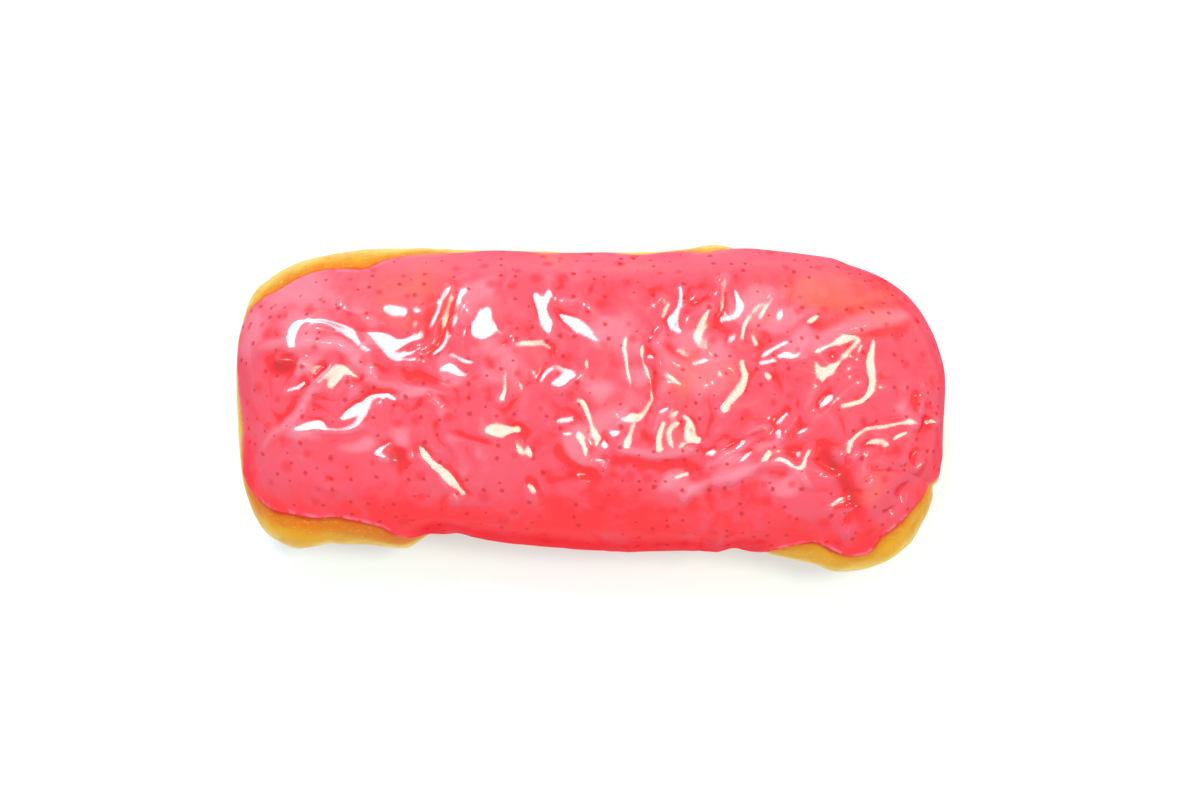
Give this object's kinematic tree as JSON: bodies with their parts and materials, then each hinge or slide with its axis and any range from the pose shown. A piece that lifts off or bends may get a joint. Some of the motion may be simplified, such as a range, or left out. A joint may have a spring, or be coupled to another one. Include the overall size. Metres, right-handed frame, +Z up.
{
  "type": "iced eclair doughnut",
  "caption": "Oblong risen dough bar with rounded ends and a thick, glossy, wrinkled pink strawberry icing that covers its top and hangs over one long side.",
  "frame": {"origin": "middle of the bar's length and width, on the surface that it rests on", "axes": "+X along the bar towards its right end, +Y towards its back, away from the long side where the icing hangs down, +Z up"},
  "size_m": [0.1502, 0.0698, 0.0374],
  "materials": {
    "dough_crust": "golden fried dough skin, dull satin, with a paler ring round its widest level",
    "strawberry_icing": "wet glossy coral pink icing with small dark red fruit specks"
  },
  "bodies": {
    "root": {"dough": "dough_crust", "icing": "strawberry_icing"}
  },
  "joints": []
}
